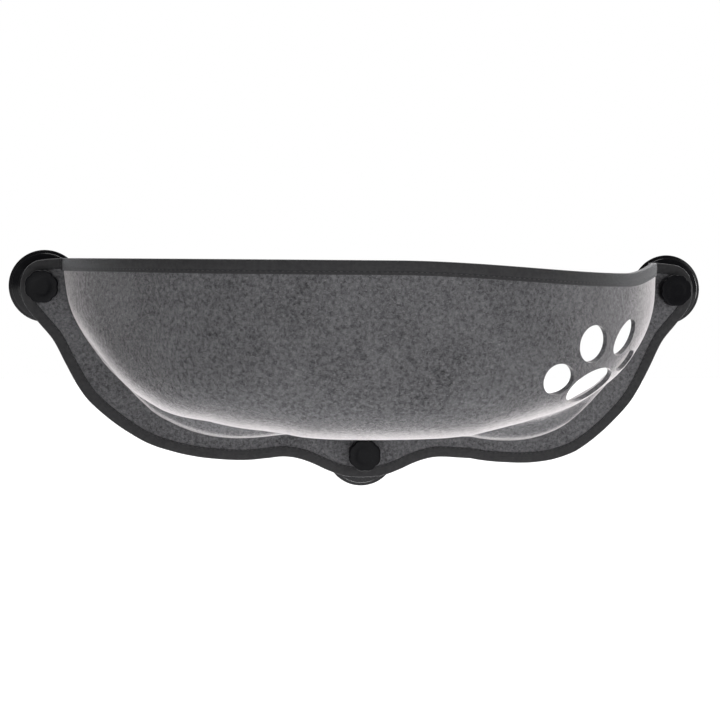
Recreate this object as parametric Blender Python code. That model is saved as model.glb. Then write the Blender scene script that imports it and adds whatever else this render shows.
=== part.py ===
"""Felt cat hammock that hangs on a window by three screw-on suction cups.

All sizes are in metres.  +X runs to the right and +Z up as seen from the room,
+Y runs into the window.  The origin is on the glass, midway between the two
upper suction cups.
"""

import math

import bmesh
import bpy
import numpy as np
from mathutils import Matrix, Vector

# Fit of the pieces
gap = 0.0003
felt = 0.004
tape = 0.0010
tape_cover = 0.0105
join_distance = 0.00003

# Places of the cups beyond the pod's edges, and room round their eyelets
ear_reach = 0.0220
tab_reach = 0.0130
ear_clearance = 0.0008
tab_clearance = 0.0033

# Suction cup, turned about its stud
cup_radius = 0.0345
cup_height = 0.0146
cup_land_width = 0.0030
cup_lip = 0.0016
cup_lip_edge = 0.0005
cup_hollow = 0.0062
cup_hollow_waist_share = 0.92
cup_hollow_step_share = 0.55
cup_ring_radius = 0.0315
cup_ring_low = 0.0022
cup_ring_high = 0.0036
cup_step_radius = 0.0245
cup_step_low = 0.0060
cup_step_high = 0.0076
cup_waist_radius = 0.0145
cup_waist_height = 0.0105
cup_neck_radius = 0.0128
cup_neck_edge = 0.0006
cup_neck_band = 0.0018
cup_web = 0.0014

# Stud moulded into the cup
stud_radius = 0.004
stud_head_radius = 0.0080
stud_head = 0.0030
stud_length = 0.0236
stud_tip = 0.0006

# Eyelet that lines the hole of an ear
eyelet_bore = 0.0052
eyelet_wall = 0.0008
eyelet_flange_radius = 0.0082
eyelet_flange = 0.0010

# Washer under the knob
washer_radius = 0.0125
washer_bore = 0.0045
washer_height = 0.0015

# Knob nut with eight lobes and its metal insert
knob_radius = 0.0156
knob_height = 0.0122
knob_collar_radius = 0.0110
knob_collar = 0.0022
knob_edge = 0.0014
knob_foot_edge = 0.0007
knob_lobe_depth = 0.0022
knob_lobes = 8
knob_dish_radius = 0.0082
knob_dish = 0.0005
insert_radius = 0.0064
insert_length = 0.0090
insert_edge = 0.0003
corner_share = 0.3

# Pod: upper edge, collar, depth and the fullness of its curves
pod_half_width = 0.2830
pod_depth = 0.2350
rim_height = 0.0255
collar_height = 0.0130
root_radius = 0.0050
rim_sag = 0.0095
rim_sag_share = 0.86
lobe_fade = 0.0400
plan_power = 2.60
plan_round = 1.30
wall_power = 4.00

# Drop of the pod's root on the flange below the collar, left half mirrored.
# Each row is a share of the half width and a share of the pod drop.
pod_drop = 0.1600
root_shares = (
    (0.000, 0.912),
    (0.130, 0.925),
    (0.270, 0.962),
    (0.370, 0.987),
    (0.450, 0.995),
    (0.530, 0.982),
    (0.615, 0.938),
    (0.695, 0.865),
    (0.745, 0.787),
    (0.785, 0.713),
    (0.860, 0.563),
    (0.905, 0.446),
    (0.948, 0.312),
    (0.980, 0.175),
    (1.000, 0.000),
)

# Drop of the belly in front of the lobes, in the same shares
belly_shares = (
    (0.000, 0.904),
    (0.150, 0.900),
    (0.300, 0.886),
    (0.450, 0.853),
    (0.600, 0.775),
    (0.700, 0.682),
    (0.785, 0.583),
    (0.860, 0.460),
    (0.920, 0.343),
    (0.965, 0.226),
    (0.990, 0.115),
    (1.000, 0.000),
)

# Outer edge of the felt flange, from the rim outwards and down to the middle.
# Each row is a share of its half width and a share of its full drop.
flange_shares = (
    (0.935, 0.1320),
    (0.962, 0.1210),
    (0.986, 0.0850),
    (1.000, 0.0200),
    (0.997, -0.0550),
    (0.981, -0.1150),
    (0.949, -0.1850),
    (0.908, -0.2750),
    (0.872, -0.4000),
    (0.834, -0.5270),
    (0.796, -0.6190),
    (0.722, -0.7430),
    (0.648, -0.8330),
    (0.573, -0.8850),
    (0.496, -0.9140),
    (0.420, -0.9260),
    (0.350, -0.9250),
    (0.290, -0.9120),
    (0.240, -0.9000),
    (0.196, -0.9040),
    (0.150, -0.9270),
    (0.105, -0.9620),
    (0.055, -0.9920),
    (0.000, -1.0000),
)

# Paw print cut through the lower right of the pod: its place in shares of the
# pod's half width, depth and drop, the way it faces, and its holes.  Each row
# is a place across and up, a length and a width, all in shares of the print's
# size, and the slant in degrees.
paw_across_share = 0.6088
paw_out_share = 0.8302
paw_down_share = 0.4931
paw_yaw = 43.5
paw_pitch = 15.4
paw_size = 0.0500
paw_reach = 0.0450
paw_rows = (
    (0.400, -0.106, 0.670, 0.463, 0.000),
    (-0.715, 0.110, 0.375, 0.282, 161.3),
    (-0.025, 0.739, 0.400, 0.323, 0.8),
    (1.100, 0.800, 0.480, 0.257, 24.5),
    (1.480, 0.320, 0.430, 0.190, 7.0),
)

# Smoothness of the curved pieces
pod_columns = 56
pod_rows = 15
collar_rows = 1
root_steps = 3
outline_steps = 108
turn_steps = 28
knob_steps = 48
bore_steps = 24
curve_steps = 24
table_steps = 200
smooth_angle = 35.0

# Places that follow from the sizes above
collar_low = rim_height - collar_height
cup_spacing_half = pod_half_width + ear_reach
lower_cup_drop = pod_drop - collar_low + tab_reach
flange_half_width = cup_spacing_half + eyelet_flange_radius + ear_clearance + tape_cover
flange_drop = lower_cup_drop + eyelet_flange_radius + tab_clearance + tape_cover

# Heights above the glass of the stacked pieces
felt_back = cup_height + gap + eyelet_flange + gap
felt_middle = felt_back + felt / 2
felt_front = felt_back + felt
washer_back = felt_front + gap + eyelet_flange + gap
knob_back = washer_back + washer_height + gap
stud_head_back = cup_hollow + cup_web + gap


def clear_scene():
    for thing in list(bpy.data.objects):
        bpy.data.objects.remove(thing, do_unlink=True)


def make_material(name, colour, roughness, metallic=0.0):
    material = bpy.data.materials.new(name)
    material.use_nodes = True
    shader = material.node_tree.nodes["Principled BSDF"]
    shader.inputs["Base Color"].default_value = (*colour, 1.0)
    shader.inputs["Roughness"].default_value = roughness
    shader.inputs["Metallic"].default_value = metallic
    return material


def add_object(name, bm, material):
    bmesh.ops.recalc_face_normals(bm, faces=bm.faces)
    mesh = bpy.data.meshes.new(name)
    bm.to_mesh(mesh)
    bm.free()
    mesh.materials.append(material)
    for polygon in mesh.polygons:
        polygon.use_smooth = True
    mesh.set_sharp_from_angle(angle=math.radians(smooth_angle))
    thing = bpy.data.objects.new(name, mesh)
    bpy.context.scene.collection.objects.link(thing)
    return thing


def smooth_path(points, count):
    """Points at equal steps along a smooth curve through the given points."""
    points = np.array(points, float)
    ends = np.vstack([2 * points[0] - points[1], points, 2 * points[-1] - points[-2]])
    dense = []
    for a, b, c, d in zip(ends, ends[1:], ends[2:], ends[3:]):
        for t in np.linspace(0.0, 1.0, curve_steps, endpoint=False):
            dense.append(
                b
                + (c - a) * t / 2
                + (2 * a - 5 * b + 4 * c - d) * t**2 / 2
                + (3 * b - a - 3 * c + d) * t**3 / 2
            )
    dense = np.vstack([dense, points[-1]])
    run = np.concatenate([[0.0], np.cumsum(np.linalg.norm(np.diff(dense, axis=0), axis=1))])
    places = np.linspace(0.0, run[-1], count + 1)
    return np.column_stack([np.interp(places, run, dense[:, k]) for k in range(2)])


def drop_table(shares):
    """Smooth table of drops against the distance from the middle."""
    rows = [(-x, z) for x, z in reversed(shares[1:])] + list(shares)
    path = smooth_path(rows, 2 * table_steps)[table_steps:]
    return np.abs(path[:, 0]) * pod_half_width, path[:, 1] * pod_drop


def ease(share):
    share = max(0.0, min(1.0, share))
    return share * share * (3.0 - 2.0 * share)


def sag(x):
    """Dip of the rim above the paw print."""
    share = x / pod_half_width
    if share < rim_sag_share:
        return -rim_sag * ease(share / rim_sag_share)
    return -rim_sag * ease((1.0 - share) / (1.0 - rim_sag_share))


def rim_reach(x):
    """Distance of the rim in front of the flange root."""
    share = min(1.0, abs(x) / pod_half_width)
    return pod_depth * max(0.0, 1.0 - share**plan_power) ** (1.0 / plan_round)


def column_places():
    """Distances from the middle, closer together at the steep ends."""
    places = []
    for i in range(pod_columns + 1):
        angle = math.pi * i / pod_columns
        c = math.cos(angle)
        places.append(-math.copysign(abs(c) ** (2.0 / plan_power), c) * pod_half_width)
    return places


def flange_outline():
    half = [(x * flange_half_width, z * flange_drop) for x, z in flange_shares]
    start = [(pod_half_width + root_radius, rim_height)]
    right = start + half
    whole = [(-x, z) for x, z in right] + right[-2::-1]
    return smooth_path(whole, outline_steps)


def felt_sheet():
    """Middle surface of the felt: flange, rounded root, pod and collar."""
    root_x, root_drop = drop_table(root_shares)
    belly_x, belly_drop = drop_table(belly_shares)
    bm = bmesh.new()
    pod_back = -(felt_middle + root_radius)
    columns = column_places()

    def pod_point(x, row):
        angle = math.pi / 2 * row / pod_rows
        out = math.sin(angle) ** (2.0 / wall_power)
        down = max(0.0, math.cos(angle)) ** (2.0 / wall_power)
        root = np.interp(abs(x), root_x, root_drop)
        belly = np.interp(abs(x), belly_x, belly_drop)
        reach = rim_reach(x)
        drop = (root + (belly - root) * ease(reach * out / lobe_fade)) * down
        return Vector((x, pod_back - reach * out, collar_low - drop + sag(x) * (1 - down)))

    grid = []
    for x in columns:
        column = [bm.verts.new(pod_point(x, row)) for row in range(pod_rows + 1)]
        for step in range(1, collar_rows + 1):
            rise = collar_height * step / collar_rows
            base = pod_point(x, pod_rows)
            column.append(bm.verts.new(base + Vector((0.0, 0.0, rise))))
        grid.append(column)
    for left, right in zip(grid, grid[1:]):
        for a, b, c, d in zip(left, right, right[1:], left[1:]):
            bm.faces.new((a, b, c, d))

    # Rounded root between the flange and the pod
    path = [(x, collar_low - float(np.interp(abs(x), root_x, root_drop))) for x in columns]
    path[0] = (-pod_half_width, collar_low)
    path[-1] = (pod_half_width, collar_low)
    path = [(-pod_half_width, rim_height)] + path + [(pod_half_width, rim_height)]
    normals = outward_normals(path)
    normals[0] = normals[1] = Vector((-1.0, 0.0))
    normals[-1] = normals[-2] = Vector((1.0, 0.0))
    rings = []
    for step in range(root_steps + 1):
        angle = math.pi / 2 * step / root_steps
        out = root_radius * (1.0 - math.sin(angle))
        back = -felt_middle - root_radius * (1.0 - math.cos(angle))
        rings.append(
            [
                bm.verts.new((x + n.x * out, back, z + n.y * out))
                for (x, z), n in zip(path, normals)
            ]
        )
    for near, far in zip(rings, rings[1:]):
        for a, b, c, d in zip(near, near[1:], far[1:], far):
            bm.faces.new((a, b, c, d))

    # Flat flange between its outer edge and the root
    outline = [bm.verts.new((x, -felt_middle, z)) for x, z in flange_outline()[1:-1]]
    bm.faces.new(outline + list(reversed(rings[0])))
    bmesh.ops.remove_doubles(bm, verts=bm.verts, dist=join_distance)
    return bm


def outward_normals(path):
    """Unit normals on the left hand of a path that runs from left to right below."""
    normals = []
    for i in range(len(path)):
        before = path[max(0, i - 1)]
        after = path[min(len(path) - 1, i + 1)]
        run = Vector((after[0] - before[0], after[1] - before[1])).normalized()
        normals.append(Vector((run.y, -run.x)))
    return normals


def tape_section(cover):
    """Closed section of the folded tape: across the felt, and out from its edge."""
    near = felt / 2 + gap
    far = near + tape
    top = gap + tape
    bend = tape
    right = [(near, -cover), (far, -cover), (far, top - bend)]
    right += [(far - bend * corner_share, top - bend * corner_share), (far - bend, top)]
    left = [(-a, b) for a, b in reversed(right)]
    return right + left + [(-near, gap), (near, gap)]


def sweep(name, stations, section, material):
    """Skin over copies of a section; each station gives origin and two directions."""
    bm = bmesh.new()
    rings = []
    for origin, across, out in stations:
        rings.append([bm.verts.new(origin + across * a + out * b) for a, b in section])
    for near, far in zip(rings, rings[1:]):
        for i in range(len(section)):
            j = (i + 1) % len(section)
            bm.faces.new((near[i], near[j], far[j], far[i]))
    bm.faces.new(rings[0])
    bm.faces.new(list(reversed(rings[-1])))
    return add_object(name, bm, material)


def make_rim_binding(material):
    """Tape folded over the rim, from one flange root to the other."""
    corner_x = pod_half_width
    corner_y = -(felt_middle + root_radius)
    plan = []
    for step in range(root_steps + 1):
        angle = math.pi / 2 * step / root_steps
        plan.append(
            (
                -corner_x - root_radius * (1.0 - math.sin(angle)),
                -felt_middle - root_radius * (1.0 - math.cos(angle)),
            )
        )
    for x in column_places()[1:-1]:
        plan.append((x, corner_y - rim_reach(x)))
    plan += [(-x, y) for x, y in reversed(plan[: root_steps + 1])]
    normals = outward_normals(plan)
    normals[0] = normals[-1] = Vector((0.0, -1.0))
    stations = []
    for (x, y), n in zip(plan, normals):
        origin = Vector((x, y, rim_height + sag(x)))
        stations.append((origin, Vector((n.x, n.y, 0.0)), Vector((0.0, 0.0, 1.0))))
    return sweep("rim_binding", stations, tape_section(tape_cover), material)


def make_flange_binding(material):
    """Tape folded over the outer edge of the flange."""
    path = [(x, z) for x, z in flange_outline()]
    path[0] = (path[0][0] - gap, path[0][1])
    path[-1] = (path[-1][0] + gap, path[-1][1])
    normals = outward_normals(path)
    normals[0] = normals[-1] = Vector((0.0, 1.0))
    stations = []
    for (x, z), n in zip(path, normals):
        origin = Vector((x, -felt_middle, z))
        stations.append((origin, Vector((0.0, -1.0, 0.0)), Vector((n.x, 0.0, n.y))))
    return sweep("flange_binding", stations, tape_section(tape_cover), material)


def turned(name, profile, steps, material, site, lobed=None):
    """Solid turned about the stud axis; profile rows are radius and height."""
    bm = bmesh.new()
    verts = [bm.verts.new((r, 0.0, h)) for r, h in profile]
    edges = [bm.edges.new((a, b)) for a, b in zip(verts, verts[1:])]
    if profile[0][0] > 0.0:
        edges.append(bm.edges.new((verts[-1], verts[0])))
    bmesh.ops.spin(
        bm,
        geom=edges,
        cent=(0.0, 0.0, 0.0),
        axis=(0.0, 0.0, 1.0),
        angle=2 * math.pi,
        steps=steps,
        use_merge=True,
    )
    bmesh.ops.remove_doubles(bm, verts=bm.verts, dist=join_distance / 3)
    if lobed:
        lobed(bm)
    thing = add_object(name, bm, material)
    thing.location = site
    thing.rotation_euler = (math.pi / 2, 0.0, 0.0)
    return thing


def cup_profile():
    pocket = stud_head_radius + gap
    bore = stud_radius + gap
    land = cup_radius - cup_lip_edge
    return [
        (0.0, cup_hollow),
        (cup_waist_radius, cup_hollow * cup_hollow_waist_share),
        (cup_step_radius, cup_hollow * cup_hollow_step_share),
        (land - cup_land_width, 0.0),
        (land, 0.0),
        (cup_radius, cup_lip_edge),
        (cup_radius, cup_lip - cup_lip_edge),
        (cup_radius - cup_lip_edge, cup_lip),
        (cup_ring_radius, cup_ring_low),
        (cup_ring_radius - cup_lip_edge, cup_ring_high),
        (cup_step_radius, cup_step_low),
        (cup_step_radius - cup_lip_edge, cup_step_high),
        (cup_waist_radius, cup_waist_height),
        (cup_neck_radius, cup_height - cup_neck_band),
        (cup_neck_radius, cup_height - cup_neck_edge),
        (cup_neck_radius - cup_neck_edge, cup_height),
        (bore, cup_height),
        (bore, stud_head_back + stud_head + gap),
        (pocket, stud_head_back + stud_head + gap),
        (pocket, stud_head_back - gap),
        (0.0, stud_head_back - gap),
    ]


def stud_profile():
    top = stud_head_back + stud_length
    return [
        (0.0, stud_head_back),
        (stud_head_radius, stud_head_back),
        (stud_head_radius, stud_head_back + stud_head),
        (stud_radius, stud_head_back + stud_head),
        (stud_radius, top - stud_tip),
        (stud_radius - stud_tip, top),
        (0.0, top),
    ]


def eyelet_profile():
    outer = eyelet_bore + eyelet_wall
    return [
        (eyelet_bore, felt_back - gap - eyelet_flange),
        (eyelet_flange_radius, felt_back - gap - eyelet_flange),
        (eyelet_flange_radius, felt_back - gap),
        (outer, felt_back - gap),
        (outer, felt_front + gap),
        (eyelet_flange_radius, felt_front + gap),
        (eyelet_flange_radius, felt_front + gap + eyelet_flange),
        (eyelet_bore, felt_front + gap + eyelet_flange),
    ]


def washer_profile():
    return [
        (washer_bore, washer_back),
        (washer_radius, washer_back),
        (washer_radius, washer_back + washer_height),
        (washer_bore, washer_back + washer_height),
    ]


def knob_profile():
    top = knob_back + knob_height
    head = knob_back + knob_collar
    return [
        (insert_radius + gap, knob_back),
        (knob_collar_radius, knob_back),
        (knob_collar_radius, head),
        (knob_radius - knob_foot_edge, head),
        (knob_radius, head + knob_foot_edge),
        (knob_radius, top - knob_edge),
        (knob_radius - knob_edge * corner_share, top - knob_edge * corner_share),
        (knob_radius - knob_edge, top),
        (knob_dish_radius, top),
        (knob_dish_radius - knob_dish, top - knob_dish),
        (0.0, top - knob_dish),
    ]


def knob_pocket():
    deep = knob_back + insert_length + gap
    return [(0.0, deep), (insert_radius + gap, deep)]


def insert_profile():
    bore = stud_radius + gap
    top = knob_back + insert_length
    return [
        (bore, knob_back),
        (insert_radius - insert_edge, knob_back),
        (insert_radius, knob_back + insert_edge),
        (insert_radius, top - insert_edge),
        (insert_radius - insert_edge, top),
        (bore, top),
    ]


def cut_lobes(bm):
    """Pulls the rim of the knob inwards between its lobes."""
    for vert in bm.verts:
        radius = math.hypot(vert.co.x, vert.co.y)
        if radius > knob_collar_radius + gap:
            angle = math.atan2(vert.co.y, vert.co.x)
            wave = abs(math.sin(angle * knob_lobes / 2))
            scale = (radius - knob_lobe_depth * (1.0 - wave) ** 1.5) / radius
            vert.co.x *= scale
            vert.co.y *= scale


def ring_points(half_long, half_wide):
    angles = [2 * math.pi * i / bore_steps for i in range(bore_steps)]
    return [(half_long * math.cos(a), half_wide * math.sin(a)) for a in angles]


def add_prism(bm, outline, reach, place):
    """Straight prism that runs a reach to both sides of its place."""
    low = [bm.verts.new(place @ Vector((x, y, -reach))) for x, y in outline]
    high = [bm.verts.new(place @ Vector((x, y, reach))) for x, y in outline]
    for i in range(len(outline)):
        j = (i + 1) % len(outline)
        bm.faces.new((low[i], low[j], high[j], high[i]))
    bm.faces.new(list(reversed(low)))
    bm.faces.new(high)


def main():
    clear_scene()
    felt_grey = make_material("grey_felt", (0.115, 0.115, 0.125), 0.95)
    tape_dark = make_material("dark_tape", (0.038, 0.038, 0.041), 0.85)
    rubber = make_material("black_rubber", (0.012, 0.012, 0.013), 0.35)
    plastic = make_material("black_plastic", (0.010, 0.010, 0.011), 0.30)
    steel = make_material("zinc_steel", (0.62, 0.62, 0.60), 0.30, 1.0)
    brass = make_material("brass", (0.72, 0.52, 0.22), 0.30, 1.0)

    shell = add_object("felt_shell", felt_sheet(), felt_grey)
    thick = shell.modifiers.new("thickness", "SOLIDIFY")
    thick.thickness = felt
    thick.offset = 0.0
    thick.use_even_offset = True
    thick.use_quality_normals = True
    make_rim_binding(tape_dark)
    make_flange_binding(tape_dark)

    sites = {
        "left": (-cup_spacing_half, 0.0, 0.0),
        "right": (cup_spacing_half, 0.0, 0.0),
        "lower": (0.0, 0.0, -lower_cup_drop),
    }
    for side, site in sites.items():
        turned(f"suction_cup_{side}", cup_profile(), turn_steps, rubber, site)
        turned(f"stud_{side}", stud_profile(), bore_steps, steel, site)
        turned(f"eyelet_{side}", eyelet_profile(), bore_steps, brass, site)
        turned(f"washer_{side}", washer_profile(), turn_steps, plastic, site)
        outline = knob_pocket() + knob_profile()
        turned(f"knob_{side}", outline, knob_steps, plastic, site, cut_lobes)
        turned(f"knob_insert_{side}", insert_profile(), bore_steps, brass, site)

    cutter = bmesh.new()
    round_hole = ring_points(eyelet_bore + eyelet_wall + gap, eyelet_bore + eyelet_wall + gap)
    turn = Matrix.Rotation(math.pi / 2, 4, "X")
    for x, _, z in sites.values():
        place = Matrix.Translation((x, -felt_middle, z)) @ turn
        add_prism(cutter, round_hole, felt, place)
    facing = (
        Matrix.Translation(
            (
                pod_half_width * paw_across_share,
                -pod_depth * paw_out_share,
                -pod_drop * paw_down_share,
            )
        )
        @ Matrix.Rotation(math.radians(paw_yaw), 4, "Z")
        @ Matrix.Rotation(math.radians(90.0 + paw_pitch), 4, "X")
    )
    for across, up, long, wide, slant in paw_rows:
        place = (
            facing
            @ Matrix.Translation((across * paw_size, up * paw_size, 0.0))
            @ Matrix.Rotation(math.radians(slant), 4, "Z")
        )
        add_prism(cutter, ring_points(long * paw_size, wide * paw_size), paw_reach, place)
    holes = add_object("hole_cutter", cutter, felt_grey)
    holes.hide_render = True
    holes.display_type = "WIRE"
    cut = shell.modifiers.new("holes", "BOOLEAN")
    cut.operation = "DIFFERENCE"
    cut.solver = "EXACT"
    cut.object = holes


main()
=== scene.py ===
"""Looks of a felt cat hammock that hangs on a window by three screw-on suction cups.

Lengths are in metres.  +X runs to the right and +Z up as seen from the room, and
+Y runs into the window glass, which is the plane y = 0.
"""

import logging
import math
from dataclasses import dataclass, field
from enum import Enum
from typing import Callable, Iterable

import bmesh
import bpy
import numpy as np
from mathutils import Matrix, Quaternion, Vector


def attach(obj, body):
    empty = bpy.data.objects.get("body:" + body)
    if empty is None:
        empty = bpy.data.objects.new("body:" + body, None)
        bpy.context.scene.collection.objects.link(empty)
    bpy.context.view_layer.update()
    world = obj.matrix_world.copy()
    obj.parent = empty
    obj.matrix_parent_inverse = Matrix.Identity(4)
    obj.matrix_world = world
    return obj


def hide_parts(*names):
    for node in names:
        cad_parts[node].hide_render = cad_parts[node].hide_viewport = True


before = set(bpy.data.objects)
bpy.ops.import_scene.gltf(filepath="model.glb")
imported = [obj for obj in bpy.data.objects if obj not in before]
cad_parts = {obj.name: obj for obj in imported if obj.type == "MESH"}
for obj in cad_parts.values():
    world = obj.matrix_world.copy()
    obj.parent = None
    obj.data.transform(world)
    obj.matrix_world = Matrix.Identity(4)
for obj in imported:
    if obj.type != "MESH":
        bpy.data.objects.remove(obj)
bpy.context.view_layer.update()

log = logging.getLogger("hammock")

BMesh = bmesh.types.BMesh
Material = bpy.types.Material
Object = bpy.types.Object
Socket = bpy.types.NodeSocket
Colour = tuple[float, float, float]
Window = tuple[float, float]
Profile = list[tuple[float, float]]
Station = tuple[Vector, Vector, Vector]

# Scale, detail, roughness and warp of a noise, the last ones where they are set
Grain = tuple[float, ...]


class Side(Enum):
    """The three places where the hammock is held on the glass."""

    LEFT = "left"
    RIGHT = "right"
    LOWER = "lower"


class Edge(Enum):
    """The two edges of the felt that carry a folded tape."""

    RIM = "rim"
    FLANGE = "flange"


class MetalTone(Enum):
    """Metals of the small turned pieces, as base colour and roughness."""

    ZINC = (0.6, 0.6, 0.58, 0.3)
    BRASS = (0.66, 0.46, 0.18, 0.32)


# Where the three suction cups stand on the glass
SITES = {
    Side.LEFT: Vector((-0.305, 0.0, 0.0)),
    Side.RIGHT: Vector((0.305, 0.0, 0.0)),
    Side.LOWER: Vector((0.0, 0.0, -0.1605)),
}

# How far each tape reaches over the felt
COVERS = {Edge.RIM: 0.0105, Edge.FLANGE: 0.0088}

# Tool rings of the zinc and of the brass pieces
STUD_PITCH = 0.00125
BUSH_PITCH = 0.0004

# Scale at which a wave texture repeats once in each metre
WAVE = math.pi / 10.0

# Steps of a smooth curve between two of its points, and of a table of drops
CURVE_STEPS = 24
TABLE_STEPS = 600


# Node trees and finishes


class ShaderTree:
    """Node tree of one material, written one node at a time."""

    def __init__(self, name: str) -> None:
        """Starts a material that holds only its shader.

        Args:
            name: Name of the material.
        """
        self.material = bpy.data.materials.new(name)
        self.material.use_nodes = True
        tree = self.material.node_tree
        self.nodes, self.links = tree.nodes, tree.links
        self.shader = self.nodes["Principled BSDF"]

    def set(self, **values: object) -> None:
        """Sets or feeds sockets of the shader; underscores stand for spaces."""
        for key, value in values.items():
            self.feed(self.shader.inputs[key.replace("_", " ")], value)

    def feed(self, socket: Socket, value: object) -> None:
        """Links a socket to another node's output, or gives it a constant.

        Args:
            socket: The socket that takes the value.
            value: An output socket, or a number, colour or vector.
        """
        if isinstance(value, Socket):
            self.links.new(value, socket)
        else:
            socket.default_value = value

    def add(self, kind: str, inputs: dict | None = None, **settings: object) -> bpy.types.Node:
        """Adds a node.

        Args:
            kind: Short type name, without the leading "ShaderNode".
            inputs: Values by socket name or number.
            settings: Attributes of the node.

        Returns:
            The new node.
        """
        node = self.nodes.new("ShaderNode" + kind)
        for key, value in settings.items():
            setattr(node, key, value)
        for key, value in (inputs or {}).items():
            self.feed(node.inputs[key], value)
        return node

    def place(self) -> Socket:
        """Object coordinates, which are metres in the hammock's frame."""
        return self.add("TexCoord").outputs["Object"]

    def noise(
        self,
        where: Socket,
        scale: float,
        detail: float = 2.0,
        roughness: float = 0.5,
        warp: float = 0.0,
    ) -> Socket:
        """Noise from 0 to 1 whose features are about one over scale wide.

        Args:
            where: Coordinates that it reads.
            scale: How often it changes in a metre.
            detail: Number of finer layers.
            roughness: Strength of the finer layers.
            warp: How far it bends itself.

        Returns:
            The output socket.
        """
        values = {"Vector": where, "Scale": scale, "Detail": detail}
        values |= {"Roughness": roughness, "Distortion": warp}
        return self.add("TexNoise", values).outputs["Fac"]

    def stretch(self, where: Socket, scale: Colour, turn: Colour) -> Socket:
        """Coordinates scaled apart along each axis and turned."""
        values = {"Vector": where, "Scale": scale, "Rotation": turn}
        return self.add("Mapping", values).outputs["Vector"]

    def math(self, kind: str, a: object, b: object = 0.0, c: object = 0.0) -> Socket:
        """Result of one sum on numbers."""
        return self.add("Math", {0: a, 1: b, 2: c}, operation=kind).outputs[0]

    def swing(self, value: object, size: float) -> Socket:
        """Noise of the given full size around zero."""
        return self.math("MULTIPLY_ADD", value, size, -size / 2)

    def span(
        self, value: object, low: float, high: float, start: float = 0.0, end: float = 1.0
    ) -> Socket:
        """Maps the stretch from low to high onto start to end, smooth and clamped.

        Args:
            value: What is mapped.
            low: Value that gives start.
            high: Value that gives end.
            start: Result at and below low.
            end: Result at and above high.

        Returns:
            The output socket.
        """
        values = {"Value": value, "From Min": low, "From Max": high}
        values |= {"To Min": start, "To Max": end}
        return self.add("MapRange", values, interpolation_type="SMOOTHSTEP").outputs["Result"]

    def blend(self, share: object, a: object, b: object, way: str = "MIX") -> Socket:
        """Mix of two colours."""
        values = {0: share, 6: self._tint(a), 7: self._tint(b)}
        return self.add("Mix", values, data_type="RGBA", blend_type=way).outputs[2]

    @staticmethod
    def _tint(colour: object) -> object:
        """A colour as a socket takes it: linked, or with an alpha of 1."""
        return colour if isinstance(colour, Socket) else (*colour, 1.0)

    def bump(self, height: object, depth: float, strength: float = 1.0) -> Socket:
        """Normal of a relief whose full height is depth."""
        values = {"Height": height, "Distance": depth, "Strength": strength}
        return self.add("Bump", values).outputs["Normal"]


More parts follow.
